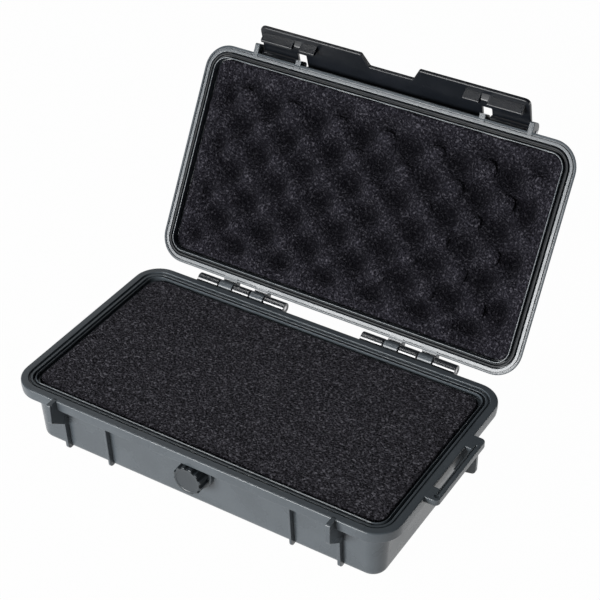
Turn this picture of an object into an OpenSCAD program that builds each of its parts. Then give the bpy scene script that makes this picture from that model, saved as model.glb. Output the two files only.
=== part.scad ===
// Small sealed equipment case with a wide front latch, shown standing open.
// Millimetres. X runs along the case, Y from front to back, Z up.
// The origin is at the middle of the base's underside.
// The lid and everything on it is drawn closed and then swung open about the hinge.

/* [Case] */
// Length of the rim flange
case_l = 250; // [200:1:320]
// Depth of the rim flange, front to back
case_w = 140; // [110:1:190]
// Height of the base
base_h = 42; // [36:0.5:70]
// Height of the lid
lid_h = 22.7; // [20:0.1:60]
// Outer corner radius of the flange, seen from above
corner_r = 16.5; // [15:0.5:20]
// How far the lid stands open
lid_open = 118.97; // [0:0.01:119]
// How far the latch flap is swung out from its closed place
flap_open = 46; // [0:1:100]

/* [Walls] */
// Wall thickness
wall = 2.4; // [1.6:0.1:3]
// Floor and lid top thickness
floor_t = 2.6; // [1.6:0.1:4]
// How far the flange stands out past the wall
overhang = 7.8; // [7.4:0.1:9]
// Corner radius of the walls, seen from above
wall_r = 11; // [8:0.5:16]
// Rounding of the base's bottom edge
base_edge = 3.5; // [1:0.1:5]
// Rounding of the lid's top edge
lid_edge = 4.5; // [1:0.1:5]
// How far the base's walls lean in from rim to floor
base_draft = 2.3; // [0:0.1:3]
// How far the lid's walls lean in from rim to top
lid_draft = 2; // [0:0.1:3]

/* [Flange] */
// Thickness of the flange plate
plate_t = 4.4; // [4:0.1:6]
// Height of the flange's outer skirt
skirt_h = 7; // [6:0.1:9]
// Thickness of the skirt
skirt_t = 2.4; // [1.6:0.1:3]
// How far the lid's flange leans in over its thickness
lid_bevel = 2; // [0:0.1:2.4]
// Gap between the two rims when the case is closed
rim_gap = 0.3; // [0.2:0.05:0.6]

/* [Rim of the base, measured inwards from the flange edge] */
// Start of the shallow drip groove
groove_in = 4.4; // [3:0.1:4.6]
// Start of the seal ridge
ridge_in = 5.7; // [5.4:0.1:6]
// Start of the slot that takes the lid's tongue
slot_in = 7.1; // [6.8:0.1:7.2]
// Width of that slot
slot_w = 1.2; // [1:0.05:1.4]
// Thickness of the thin inner lip
lip_t = 0.8; // [0.6:0.1:1.2]
// Depth of the drip groove
groove_d = 1.2; // [0.4:0.1:2]
// How far the seal ridge stays below the land
ridge_drop = 0.5; // [0.2:0.1:1]
// How far the inner lip stays below the land
lip_drop = 0.8; // [0.4:0.1:1.5]
// Depth of the slot
slot_d = 2.8; // [2:0.1:3]
// Height of the inner lip above the wall's inner step
lip_h = 2.2; // [1:0.1:3]

/* [Rim of the lid, measured inwards from the flange edge] */
// Start of the seal groove
seal_in = 4; // [3.6:0.1:4.2]
// Depth of the seal groove
seal_d = 3; // [2:0.1:3.4]
// Start of the gasket
gasket_in = 4.7; // [4.6:0.05:5]
// Width of the gasket
gasket_w = 2.1; // [1.5:0.1:2.2]
// Clearance between gasket and seal ridge when closed
seal_clear = 0.25; // [0.1:0.05:0.5]
// Clearance on each side of the tongue in its slot
tongue_clear = 0.25; // [0.15:0.05:0.35]
// How far the tongue reaches past the lid's rim
tongue_h = 2.57; // [1.5:0.01:2.7]

/* [Foam] */
// Side gap round each foam
foam_gap = 0.5; // [0.2:0.1:2]
// How far the base foam stays below the rim
foam_drop = 1.3; // [0.5:0.1:6]
// Corner radius of the foams
foam_r = 8; // [7.9:0.1:12]
// Length of one wave of the lid foam
wave_l = 32.8; // [20:0.1:60]
// Depth of one wave of the lid foam
wave_w = 30.8; // [20:0.1:60]
// Height from hollow to crest of the lid foam
wave_h = 10; // [4:0.5:14]
// Place of one crest along the case
crest_x = 6; // [-30:0.5:30]
// Place of the same crest across the case
crest_y = 20.6; // [-30:0.1:30]
// How far the crests stay inside the lid's rim
crest_drop = 1.2; // [0.5:0.1:3]

/* [Hinge] */
// Hinge axis behind the flange
hinge_out = 4.26; // [4.1:0.01:6]
// Hinge axis below the base's rim
hinge_drop = 1.39; // [1:0.01:1.8]
// Knuckle radius
knuckle_r = 3.4; // [3:0.1:3.4]
// Hinge pin radius
hinge_pin_r = 1.5; // [1:0.1:1.8]
// Running clearance of the lid's knuckles on the pin
pin_clear = 0.06; // [0.02:0.01:0.1]
// Distance of each hinge's middle from the middle of the case
hinge_x = 58.65; // [40:0.05:80]
// Length of an outer base knuckle
end_knuckle = 14.75; // [8:0.05:18]
// Length of the middle base knuckle
mid_knuckle = 11.8; // [6:0.1:16]
// Length of a lid knuckle
lid_knuckle = 9.5; // [6:0.1:14]
// Gap between knuckles
knuckle_gap = 0.75; // [0.4:0.05:1.5]

/* [Latch flap] */
// Half the length of the flap
flap_half = 89.9; // [75:0.1:95]
// Thickness of the flap's plate
flap_t = 2.6; // [2:0.1:3]
// Gap between the closed flap and the flange
flap_gap = 1.5; // [1:0.1:2]
// Height of the flap's free edge above the ground when closed
flap_foot = 27.6; // [24:0.1:29]
// Height of the latch axis above the lid's rim
latch_up = 6.1; // [5.8:0.1:6.4]
// Depth of the latch axis behind the flange's front face
latch_in = 0.2; // [0:0.1:0.4]
// Radius of the flap's barrels
barrel_r = 3; // [2.6:0.1:3]
// Latch pin radius
latch_pin_r = 1.25; // [1:0.05:1.5]
// Start of each barrel from the middle
barrel_x = 65.4; // [64.6:0.1:70]
// Corner radius of the free edge
flap_r = 4; // [1:0.5:6]
// Half width of the finger notch at its root
notch_root = 14.6; // [12:0.1:20]
// Half width of the finger notch at the free edge
notch_mouth = 19.4; // [18:0.1:30]
// Depth of the finger notch
notch_d = 8.4; // [8:0.1:9]
// Start of each hook lip from the middle
hook_from = 49.5; // [30:0.1:56]
// End of each hook lip from the middle
hook_to = 87.1; // [70:0.1:88]
// Reach of the hook lip from the plate
hook_reach = 5.2; // [4.5:0.1:5.6]
// Clearance between the hook lip and the skirt
hook_clear = 0.25; // [0.15:0.05:0.5]
// Thickness of the hook lip at its tip
hook_tip = 1.75; // [1.2:0.05:2]
// Thickness of the hook lip at its root
hook_root = 3.95; // [2.5:0.05:5]

/* [Latch ears on the lid] */
// Clearance between the flap and each outer ear
ear_gap = 0.6; // [0.4:0.1:1]
// Thickness of an outer ear
ear_t = 3.4; // [2.5:0.1:4]
// Reach of an outer ear past the flange
ear_out = 5.6; // [4.5:0.1:6]
// Height of an outer ear above the lid's rim
ear_h = 9.3; // [9.3:0.1:11]
// Inner face of each inner ear from the middle
tab_x = 60; // [59.9:0.1:60.5]
// Thickness of an inner ear
tab_t = 3.9; // [3:0.1:4]
// Radius of an inner ear round its pin
tab_r = 2.5; // [2.2:0.1:2.6]
// Height of the stiff front bar above the latch axis
bar_over = 0.9; // [0:0.1:1]

/* [Front of the base] */
// Middle of each inner rib from the middle of the case
rib_x = 61.4; // [40:0.1:63]
// Thickness of an inner rib
rib_t = 1.4; // [1:0.1:2.4]
// Reach of the ribs from the wall
rib_out = 3.3; // [1.5:0.1:3.6]
// Rounding of the ribs' feet
rib_foot = 3; // [1:0.1:3.2]
// Thickness of a guard fin
fin_t = 3; // [2:0.1:3.4]
// Reach of a guard fin past the flange
fin_out = 5.6; // [4:0.1:6]
// Height of a guard fin's lower front corner
fin_z = 28; // [24:0.5:30]
// Height at which a guard fin runs out on its rib
fin_root_z = 20.6; // [14:0.1:22]

/* [Purge valve] */
// Depth of the valve's middle below the flange's skirt
valve_drop = 9.4; // [9.4:0.1:11]
// Radius of the boss round the valve
boss_r = 10.8; // [10:0.1:12]
// Height of the boss on the wall
boss_t = 1.6; // [1:0.1:2.5]
// Knob radius
knob_r = 9.3; // [8.4:0.1:9.4]
// Knob length
knob_l = 7.95; // [6:0.05:9]
// Gap between knob and boss
knob_gap = 0.15; // [0.1:0.05:0.4]
// Number of finger scallops round the knob
scallops = 12; // [8:1:16]
// Radius of a scallop
scallop_r = 1.5; // [1:0.1:1.8]
// Radius of the knob's screw
screw_r = 4; // [3:0.1:4.5]
// Outer radius of the threaded bush
bush_r = 5.5; // [5:0.1:6]
// Middle radius of the sealing ring
ring_r = 7.05; // [6.8:0.05:7.2]
// Section radius of the sealing ring
ring_t = 0.75; // [0.5:0.05:0.8]

/* [Strap bracket on the right end] */
// Reach of the bracket past the flange
bracket_out = 7.5; // [7:0.1:10]
// Front end of the bracket, forward of the middle
bracket_front = 30.4; // [26:0.1:36]
// Back end of the bracket, behind the middle
bracket_back = 27.5; // [22:0.1:35]
// Thickness of the bracket
bracket_t = 4; // [3:0.1:5]
// Width of the bracket's outer bar
bar_w = 4; // [3:0.1:4]
// Front end of the strap slot, forward of the middle
strap_front = 20.5; // [12:0.1:22]
// Back end of the strap slot, behind the middle
strap_back = 16.5; // [8:0.1:18]
// Thickness of the web under the bracket
web_t = 2.5; // [1.5:0.1:3]
// Height of the web's lower outer corner
web_z = 24; // [22:0.5:28]
// Height at which the web meets the wall
web_root_z = 21; // [14:0.5:22]

/* [Hidden] */
$fn = 48;

over = 0.5;            // how far a cut runs past the face it opens
clear_cut = 2;         // height of a cut that runs out into the open
lap = 1;               // how far joined shapes run into each other
weld = 0.2;            // how far a shape runs into a thin plate
foam_lift = 0.2;       // clearance between a foam and the floor it lies on
fit = 0.01;            // clearance of a pressed-in piece
axis_run = 0.05;       // running clearance of latch pins and of the valve screw
front = -case_w / 2;   // front face of the flange
back = case_w / 2;     // back face of the flange
lid_z = base_h + rim_gap;
lid_top = lid_z + lid_h;
tub_l = case_l - 2 * overhang;
tub_w = case_w - 2 * overhang;
tub_h = base_h - lap;   // the walls end inside the flange
lid_tub_h = lid_h - lap;
base_lean = base_draft / tub_h;
lid_lean = lid_draft / lid_tub_h;
lip_in = slot_in + slot_w;
lip_end = lip_in + lip_t;
wall_end = overhang + wall;
inner_r = wall_r - wall;

hinge_y = back + hinge_out;
hinge_z = base_h - hinge_drop;
hinge_len = 2 * end_knuckle + 2 * lid_knuckle + mid_knuckle + 4 * knuckle_gap;

latch_y = front + latch_in;
latch_z = lid_z + latch_up;
flap_y = front - flap_gap;          // inner face of the closed flap
hook_z = base_h - skirt_h - hook_clear;
flap_rise = 2.2;                    // reach of the closed flap's plate above the latch axis
flap_top = latch_z + flap_rise;
window_gap = 0.8;                   // clearance round each inner ear in the flap's window
window_low = 0.7;                   // reach of the window below the lid's rim
window_x = [tab_x - window_gap, barrel_x];
window_z = lid_z - window_low;
root = 1.2;                         // how far ribs and ears run into a wall
ear_x = flap_half + ear_gap;
fin_x = ear_x;
pin_proud = 0.4;                    // how far a latch pin stands out of its ears
pin_end = ear_x + ear_t + pin_proud;

wall_y = -tub_w / 2;                // front face of the base's wall
valve_z = base_h - skirt_h - valve_drop;
boss_y = wall_y - boss_t;
knob_y = boss_y - knob_gap;
ring_gap = 0.05;                    // clearance between the sealing ring and the boss
ring_y = boss_y - ring_gap - ring_t;
bush_end = wall_y + wall + base_lean * (tub_h - valve_z - bush_r);

// ---------- shared shapes ----------

// rounded rectangle, centred
module rounded(l, w, r) {
  square([l - 2 * r, w], center = true);
  square([l, w - 2 * r], center = true);
  for (x = [-1, 1], y = [-1, 1])
    translate([x * (l / 2 - r), y * (w / 2 - r)]) circle(r);
}

// outline of the rim, moved inwards
module rim_outline(inset) {
  rounded(case_l - 2 * inset, case_w - 2 * inset, corner_r - inset);
}

// upright band that follows the rim between two insets
module rim_band(outer, inner, low, high) {
  translate([0, 0, low]) linear_extrude(high - low) difference() {
    rim_outline(outer);
    rim_outline(inner);
  }
}

// half of a tub's section: side that leans in downwards, rounded bottom edge
module side_section(half, h, edge, lean) {
  low = half - lean * h;
  steps = 5;
  turn = [for (i = [0:steps]) 90 * i / steps];
  polygon(concat([[0, 0]],
                 [for (a = turn) [low - edge + edge * sin(a), edge - edge * cos(a)]],
                 [[half, h], [0, h]]));
}

// block with rounded upright corners and a rounded bottom edge, its size given at its top
module tub(l, w, r, h, edge, lean) {
  corners = [[1, 1], [-1, 1], [-1, -1], [1, -1]];
  for (i = [0:3])
    translate([corners[i][0] * (l / 2 - r), corners[i][1] * (w / 2 - r), 0]) rotate(90 * i)
      rotate_extrude(angle = 90) side_section(r, h, edge, lean);
  for (turn = [0, 180]) rotate(turn) {
    rotate([90, 0, 0]) linear_extrude(w - 2 * r, center = true) side_section(l / 2, h, edge, lean);
    rotate([90, 0, 90]) linear_extrude(l - 2 * r, center = true) side_section(w / 2, h, edge, lean);
  }
}

// room inside a tub, its size given at its top
module well(l, w, r, h, lean) {
  hull() for (x = [-1, 1], y = [-1, 1])
    translate([x * (l / 2 - r), y * (w / 2 - r), 0])
      cylinder(r1 = r - lean * h, r2 = r, h = h, $fn = 32);
}

// flat piece drawn in the YZ plane, from x0 to x0 + t
module side_piece(x0, t) {
  translate([x0, 0, 0]) rotate([90, 0, 90]) linear_extrude(t) children();
}

// cylinder along X
module bar_x(x0, x1, y, z, r) {
  translate([x0, y, z]) rotate([0, 90, 0]) cylinder(r = r, h = x1 - x0);
}

// cylinder along Y, from y0 towards the back
module bar_y(y0, y1, z, r) {
  translate([0, y0, z]) rotate([-90, 0, 0]) cylinder(r = r, h = y1 - y0);
}

module both_sides() {
  children();
  mirror([1, 0, 0]) children();
}

// swings what is drawn on the closed lid to the open lid
module on_lid() {
  translate([0, hinge_y, hinge_z]) rotate([-lid_open, 0, 0])
    translate([0, -hinge_y, -hinge_z]) children();
}

// swings what is drawn on the closed flap out about the latch axis
module on_flap() {
  on_lid() translate([0, latch_y, latch_z]) rotate([-flap_open, 0, 0])
    translate([0, -latch_y, -latch_z]) children();
}

// ---------- base ----------

module rib(x, t) {
  side_piece(x - t / 2, t) {
    polygon([[wall_y + base_draft + root, 0], [wall_y - rib_out + base_draft + rib_foot, 0],
             [wall_y - rib_out + base_draft, rib_foot], [wall_y - rib_out, base_h - plate_t + weld],
             [wall_y + base_draft + root, base_h - plate_t + weld]]);
    translate([wall_y - rib_out + base_draft + rib_foot, rib_foot]) circle(rib_foot);
  }
}

module guard_fin() {
  fin_r = 2;
  tip = front - fin_out;
  fin_end = wall_y + base_draft * (1 - fin_root_z / tub_h) + root;
  side_piece(fin_x, fin_t) {
    translate([tip, fin_z + fin_r]) square([fin_end - tip, base_h - fin_z - fin_r]);
    translate([tip + fin_r, fin_z + fin_r]) circle(fin_r);
    polygon([[tip + fin_r, fin_z], [tip, fin_z + fin_r], [fin_end, fin_z + fin_r + lap],
             [fin_end, fin_root_z - lap], [fin_end - root - rib_out, fin_root_z]]);
  }
}

module base_hinge_half() {
  lengths = [end_knuckle, mid_knuckle, end_knuckle];
  arm_top = base_h - 0.2;  // just below the land
  step = [0, end_knuckle + lid_knuckle + 2 * knuckle_gap,
          end_knuckle + 2 * lid_knuckle + mid_knuckle + 4 * knuckle_gap];
  for (i = [0:2]) {
    x0 = hinge_x - hinge_len / 2 + step[i];
    bar_x(x0, x0 + lengths[i], hinge_y, hinge_z, knuckle_r);
    side_piece(x0, lengths[i])
      polygon([[back - lap, arm_top], [hinge_y, arm_top],
               [hinge_y, hinge_z - knuckle_r], [back - lap, base_h - skirt_h]]);
  }
}

module strap_bracket() {
  right = case_l / 2;
  end_r = 3;
  low = base_h - bracket_t;
  // plate with rounded outer corners
  translate([0, 0, low]) linear_extrude(bracket_t) {
    translate([right - 2 * lap, -bracket_front])
      square([bracket_out + 2 * lap - end_r, bracket_front + bracket_back]);
    translate([right, -bracket_front + end_r])
      square([bracket_out, bracket_front + bracket_back - 2 * end_r]);
    for (y = [-bracket_front + end_r, bracket_back - end_r])
      translate([right + bracket_out - end_r, y]) circle(end_r);
  }
  // web that carries it
  web_r = 3;
  web_in = 0.5;  // the web ends this far inside the bracket's outer edge
  web_end = right + bracket_out - web_in;
  web_start = tub_l / 2 - base_draft - root;
  translate([0, strap_back + web_t, 0]) rotate([90, 0, 0]) linear_extrude(web_t) {
    translate([web_start, web_z + web_r]) square([web_end - web_start, low - web_z - web_r + lap]);
    translate([web_end - web_r, web_z + web_r]) circle(web_r);
    polygon([[web_start, web_root_z], [web_start, web_z + web_r + lap],
             [web_end - web_r, web_z + web_r + lap], [web_end - web_r, web_z]]);
  }
}

module bracket_cuts() {
  slot_bite = 0.8;   // the slot reaches this far into the flange
  line_w = 1.1;
  line_d = 0.4;
  line_in = 0.4;     // from the slot to the channel
  line_short = 7;    // from the channel to the bracket's back end
  dimple_r = 1.3;
  dimple_d = 0.8;
  dimple_y = 4 - bracket_front;
  slot_x0 = case_l / 2 - slot_bite;
  bar_x0 = case_l / 2 + bracket_out - bar_w;
  line_x0 = bar_x0 + line_in;
  // strap slot
  translate([slot_x0, -strap_front, base_h - skirt_h - over])
    cube([bar_x0 - slot_x0, strap_front + strap_back, skirt_h + 2 * over]);
  // fine channel along the bar, with a dimple at its front end
  translate([line_x0, dimple_y, base_h - line_d])
    cube([line_w, bracket_back - dimple_y - line_short, clear_cut]);
  translate([line_x0 + line_w / 2, dimple_y, base_h - dimple_d]) cylinder(r = dimple_r, h = clear_cut);
}

module base_shell() {
  color("#3d4146") difference() {
    union() {
      tub(tub_l, tub_w, wall_r, tub_h, base_edge, base_lean);
      translate([0, 0, base_h - plate_t]) linear_extrude(plate_t) rim_outline(0);
      rim_band(0, skirt_t, base_h - skirt_h, base_h);
      both_sides() rib(rib_x, rib_t);
      both_sides() rib(fin_x + fin_t / 2, fin_t - 1);
      both_sides() guard_fin();
      bar_y(boss_y, wall_y + base_draft + root, valve_z, boss_r);
      both_sides() base_hinge_half();
      strap_bracket();
    }
    // inside of the tray
    translate([0, 0, floor_t])
      well(tub_l - 2 * wall, tub_w - 2 * wall, inner_r, tub_h - floor_t, base_lean);
    // step inside the thin lip, and everything above it
    translate([0, 0, base_h - lip_drop - lip_h]) linear_extrude(lip_h + clear_cut)
      rim_outline(lip_end);
    // rim: drip groove, seal ridge, tongue slot, inner lip
    translate([0, 0, base_h - ridge_drop]) linear_extrude(clear_cut) rim_outline(ridge_in);
    rim_band(groove_in, ridge_in + fit, base_h - groove_d, base_h + over);
    rim_band(slot_in, lip_in, base_h - slot_d, base_h + over);
    translate([0, 0, base_h - lip_drop]) linear_extrude(clear_cut) rim_outline(lip_in - fit);
    // bores
    bar_x(-hinge_x - hinge_len, hinge_x + hinge_len, hinge_y, hinge_z, hinge_pin_r + fit);
    bar_y(boss_y - over, wall_y + wall + base_draft + over, valve_z, bush_r + fit);
    bracket_cuts();
  }
}

module base_foam() {
  gap = overhang + wall + foam_gap;
  foam_edge = 1.2;
  foam_h = base_h - foam_drop - floor_t - foam_lift;
  color("#17181a") translate([0, 0, floor_t + foam_lift])
    tub(case_l - 2 * gap, case_w - 2 * gap, foam_r, foam_h, foam_edge, base_lean);
}

// ---------- purge valve ----------

module purge_bush() {
  color("goldenrod") difference() {
    bar_y(boss_y, bush_end, valve_z, bush_r);
    bar_y(boss_y - over, bush_end + over, valve_z, screw_r + axis_run);
  }
}

module purge_oring() {
  color("#101010") translate([0, ring_y, valve_z]) rotate([90, 0, 0])
    rotate_extrude() translate([ring_r, 0]) circle(ring_t, $fn = 24);
}

module purge_knob() {
  seat = 0.1;  // clearance round the sealing ring in its groove
  face_edge = 0.8;
  collar = 1.2;        // plain collar behind the scallops
  scallop_out = 0.55;  // share of a scallop's radius that its centre stays outside the knob
  screw_short = 0.5;   // the screw ends this far inside the wall's inner face
  face_y = knob_y - knob_l;
  color("#33363a") {
    difference() {
      translate([0, knob_y, valve_z]) rotate([90, 0, 0]) rotate_extrude()
        polygon([[0, 0], [knob_r, 0], [knob_r, knob_l - face_edge], [knob_r - face_edge, knob_l],
                 [0, knob_l]]);
      for (i = [0:scallops - 1]) {
        turn = 360 * (i + 0.5) / scallops;
        reach = knob_r + scallop_out * scallop_r;
        translate([reach * cos(turn), 0, reach * sin(turn)])
          bar_y(face_y - over, knob_y - collar, valve_z, scallop_r);
      }
      translate([0, knob_y + over, valve_z]) rotate([90, 0, 0])
        linear_extrude(over + knob_y - ring_y + ring_t + ring_gap) difference() {
          circle(ring_r + ring_t + seat);
          circle(ring_r - ring_t - seat);
        }
    }
    bar_y(knob_y - lap, wall_y + wall - screw_short, valve_z, screw_r);
  }
}

// ---------- hinge pins ----------

module hinge_pin(side) {
  inset = 0.3;
  from = side * hinge_x - hinge_len / 2;
  color("silver") bar_x(from + inset, from + hinge_len - inset, hinge_y, hinge_z, hinge_pin_r);
}

module hinge_pin_left() hinge_pin(-1);
module hinge_pin_right() hinge_pin(1);

// ---------- lid, drawn closed ----------

// outline of a lid knuckle with the arm that joins it to the flange
module lid_arm_section() {
  arm_up = 0.3;     // clearance between the arm and the base's rim, besides the gap of the rims
  arm_rise = 1.4;   // how far the arm's shoulder stands above the flange
  arm_reach = 2.4;  // and behind it
  lean = 42;        // direction in which the arm leaves its knuckle
  low = lid_z + arm_up;
  arm_y = back + arm_reach;
  translate([hinge_y, hinge_z]) circle(knuckle_r);
  polygon([[back - lid_bevel - root, low], [arm_y - weld, low], [hinge_y, hinge_z],
           [hinge_y + knuckle_r * cos(lean), hinge_z + knuckle_r * sin(lean)],
           [arm_y, lid_z + plate_t + arm_rise], [back - lid_bevel - root, lid_z + plate_t]]);
}

module lid_hinge_half() {
  first = hinge_x - hinge_len / 2 + end_knuckle + knuckle_gap;
  pitch = lid_knuckle + mid_knuckle + 2 * knuckle_gap;
  for (i = [0, 1]) side_piece(first + i * pitch, lid_knuckle) lid_arm_section();
}

module outer_ear() {
  nose = 4;
  tip = front - ear_out;
  ear_end = wall_y + lid_draft + root;
  side_piece(ear_x, ear_t) {
    translate([tip, lid_z]) square([ear_end - tip, ear_h - nose]);
    translate([tip + nose, lid_z]) square([ear_end - tip - nose, ear_h]);
    translate([tip + nose, lid_z + ear_h - nose]) circle(nose);
  }
}

module inner_ear() {
  tip = latch_y - tab_r;
  ear_end = wall_y + lid_draft + root;
  side_piece(tab_x, tab_t) {
    translate([tip, lid_z]) square([ear_end - tip, latch_up]);
    translate([latch_y, lid_z]) square([ear_end - latch_y, latch_up + tab_r]);
    translate([latch_y, latch_z]) circle(tab_r);
  }
}

// room for a barrel of the flap, cut out of the flange
module barrel_pocket() {
  gap = 0.5;
  x0 = tab_x + tab_t;
  translate([x0, front - over, latch_z - barrel_r - gap])
    cube([ear_x - x0, over + latch_in + barrel_r + gap, skirt_h + lap]);
}

// stiffening bar along the lid's front, between the ears of the latch
module front_bar() {
  end = tab_x + tab_t;
  bar_up = 0.5;  // the bar starts this far above the lid's rim
  side_piece(-end, 2 * end)
    translate([front, lid_z + bar_up]) square([skirt_t, latch_up + bar_over - bar_up]);
}

module lid_shell() {
  inner_l = tub_l - 2 * wall;
  inner_w = tub_w - 2 * wall;
  plate_edge = 0.6;
  step_h = 1.2;   // shallow step inside the tongue
  step_in = 0.5;  // and how far it starts inside the tongue's slot
  color("#4a4e53") on_lid() difference() {
    union() {
      translate([0, 0, lid_top]) mirror([0, 0, 1])
        tub(tub_l, tub_w, wall_r, lid_tub_h, lid_edge, lid_lean);
      translate([0, 0, lid_z + plate_t]) mirror([0, 0, 1])
        tub(case_l, case_w, corner_r, plate_t, plate_edge, lid_bevel / plate_t);
      rim_band(slot_in + tongue_clear, lip_in - tongue_clear, lid_z - tongue_h, lid_z + lap);
      both_sides() lid_hinge_half();
      both_sides() outer_ear();
      both_sides() inner_ear();
      front_bar();
    }
    // inside of the lid
    translate([0, 0, lid_top - floor_t]) mirror([0, 0, 1])
      well(inner_l, inner_w, inner_r, lid_tub_h - floor_t, lid_lean);
    translate([0, 0, lid_z - lap]) linear_extrude(lap + step_h) rim_outline(lip_in + step_in);
    // seal groove
    rim_band(seal_in, slot_in + tongue_clear, lid_z - over, lid_z + seal_d);
    both_sides() barrel_pocket();
    // bores
    bar_x(-hinge_x - hinge_len, hinge_x + hinge_len, hinge_y, hinge_z, hinge_pin_r + pin_clear);
    bar_x(-pin_end - lap, pin_end + lap, latch_y, latch_z, latch_pin_r + fit);
  }
}

module lid_gasket() {
  bedding = 0.05;  // clearance between the gasket and the bottom of its groove
  color("#0c0c0d") on_lid()
    rim_band(gasket_in, gasket_in + gasket_w, base_h - ridge_drop + seal_clear,
             lid_z + seal_d - bedding);
}

// egg-crate pad: a grid of points, its front face waved by a product of two cosines
module lid_foam() {
  cols = 42;
  rows = 24;
  crowd = 0.12;  // how strongly the rows crowd towards the rounded ends
  gap = overhang + wall + foam_gap;
  half_l = case_l / 2 - gap;
  half_w = case_w / 2 - gap;
  flat_z = lid_top - floor_t - foam_lift;
  mid_z = lid_z + crest_drop + wave_h / 2;
  row_y = [for (j = [0:rows]) half_w * sin(90 * (2 * j / rows - 1)) * crowd
                              + half_w * (2 * j / rows - 1) * (1 - crowd)];
  reach = [for (y = row_y)
             let (past = max(0, abs(y) - (half_w - foam_r)))
             half_l - foam_r + sqrt(max(0, foam_r * foam_r - past * past))];
  function taper(z) = lid_lean * (z - lid_z);
  function inward(x, y, z) = [x * (1 - taper(z) / half_l), y * (1 - taper(z) / half_w), z];
  function wave(x, y) =
    mid_z - wave_h / 2 * cos(360 * (x - crest_x) / wave_l) * cos(360 * (y - crest_y) / wave_w);
  function at(i, j) = (2 * i / cols - 1) * reach[j];
  function id(i, j) = j * (cols + 1) + i;
  count = (cols + 1) * (rows + 1);
  crests = [for (j = [0:rows], i = [0:cols])
              inward(at(i, j), row_y[j], wave(at(i, j), row_y[j]))];
  flats = [for (j = [0:rows], i = [0:cols]) inward(at(i, j), row_y[j], flat_z)];
  edge = concat([for (i = [0:cols - 1]) id(i, 0)], [for (j = [0:rows - 1]) id(cols, j)],
                [for (i = [cols:-1:1]) id(i, rows)], [for (j = [rows:-1:1]) id(0, j)]);
  last = len(edge);
  faces = concat(
    [for (j = [0:rows - 1], i = [0:cols - 1]) each
       [[id(i, j), id(i + 1, j), id(i + 1, j + 1)], [id(i, j), id(i + 1, j + 1), id(i, j + 1)]]],
    [for (k = [0:last - 1]) let (a = edge[k], b = edge[(k + 1) % last]) each
       [[b, a, a + count], [b, a + count, b + count]]],
    [[for (k = [last - 1:-1:0]) edge[k] + count]]);
  color("#151517") on_lid() polyhedron(concat(crests, flats), faces);
}

// ---------- latch ----------

module latch_pin(side) {
  x0 = tab_x - pin_proud;
  color("silver") on_lid()
    bar_x(side > 0 ? x0 : -pin_end, side > 0 ? pin_end : -x0, latch_y, latch_z, latch_pin_r);
}

module latch_pin_left() latch_pin(-1);
module latch_pin_right() latch_pin(1);

// face of the flap, drawn in X and Z
module flap_face() {
  flare = over * (notch_mouth - notch_root) / notch_d;
  difference() {
    union() {
      translate([-flap_half, flap_foot + flap_r]) square([2 * flap_half, flap_top - flap_foot - flap_r]);
      translate([-flap_half + flap_r, flap_foot]) square([2 * (flap_half - flap_r), flap_r + lap]);
      for (x = [-1, 1]) translate([x * (flap_half - flap_r), flap_foot + flap_r]) circle(flap_r);
    }
    polygon([[-notch_mouth - flare, flap_foot - over], [notch_mouth + flare, flap_foot - over],
             [notch_root, flap_foot + notch_d], [-notch_root, flap_foot + notch_d]]);
    for (x = [window_x[0], -window_x[1]])
      translate([x, window_z]) square([window_x[1] - window_x[0], flap_top]);
  }
}

module hook_lip() {
  tip = flap_y + hook_reach;
  relief_r = 2.5;
  relief_side = 1.2;  // the relief's middle, outside the rib's middle
  difference() {
    side_piece(hook_from, hook_to - hook_from)
      polygon([[flap_y - lap, hook_z], [tip, hook_z], [tip, hook_z - hook_tip],
               [flap_y, hook_z - hook_root], [flap_y - lap, hook_z - hook_root]]);
    // relief over the inner rib
    translate([rib_x + relief_side, tip, hook_z - hook_root - lap])
      cylinder(r = relief_r, h = hook_root + 2 * lap);
  }
}

module latch_flap() {
  color("#1d1f22") on_flap() difference() {
    union() {
      translate([0, flap_y, 0]) rotate([90, 0, 0]) linear_extrude(flap_t) flap_face();
      both_sides() bar_x(barrel_x, flap_half, latch_y, latch_z, barrel_r);
      both_sides() hook_lip();
    }
    bar_x(-pin_end, pin_end, latch_y, latch_z, latch_pin_r + axis_run);
  }
}

base_shell();
base_foam();
purge_bush();
purge_oring();
purge_knob();
hinge_pin_left();
hinge_pin_right();
lid_shell();
lid_gasket();
lid_foam();
latch_pin_left();
latch_pin_right();
latch_flap();
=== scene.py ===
# %% [markdown]
# A small sealed microphone case, standing open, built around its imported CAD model.
# The CAD model is the fixed frame: it says where each piece is and how it moves. What is made
# here is how the pieces look: moulded plastic with its fillets and seal ridges, cut foam,
# rubber and steel. Lengths are written in millimetres and turned into metres in one place.

# %% Load the frame
from math import cos, pi, radians, sin, sqrt

import bmesh
import bpy
from mathutils import Matrix, Vector, noise


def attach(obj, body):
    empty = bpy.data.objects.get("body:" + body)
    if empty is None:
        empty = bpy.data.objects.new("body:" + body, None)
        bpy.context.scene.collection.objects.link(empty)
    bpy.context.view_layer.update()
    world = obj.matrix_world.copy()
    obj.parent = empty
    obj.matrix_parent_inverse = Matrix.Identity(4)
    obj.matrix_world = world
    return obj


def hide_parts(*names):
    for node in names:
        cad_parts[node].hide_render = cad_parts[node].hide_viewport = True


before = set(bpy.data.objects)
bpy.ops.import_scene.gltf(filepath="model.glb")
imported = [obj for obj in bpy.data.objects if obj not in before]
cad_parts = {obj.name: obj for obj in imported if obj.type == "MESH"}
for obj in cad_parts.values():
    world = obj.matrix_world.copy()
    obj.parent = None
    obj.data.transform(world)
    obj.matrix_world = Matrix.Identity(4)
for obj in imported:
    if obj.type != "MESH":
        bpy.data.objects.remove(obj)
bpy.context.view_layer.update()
print("nodes:", sorted(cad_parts))

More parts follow.
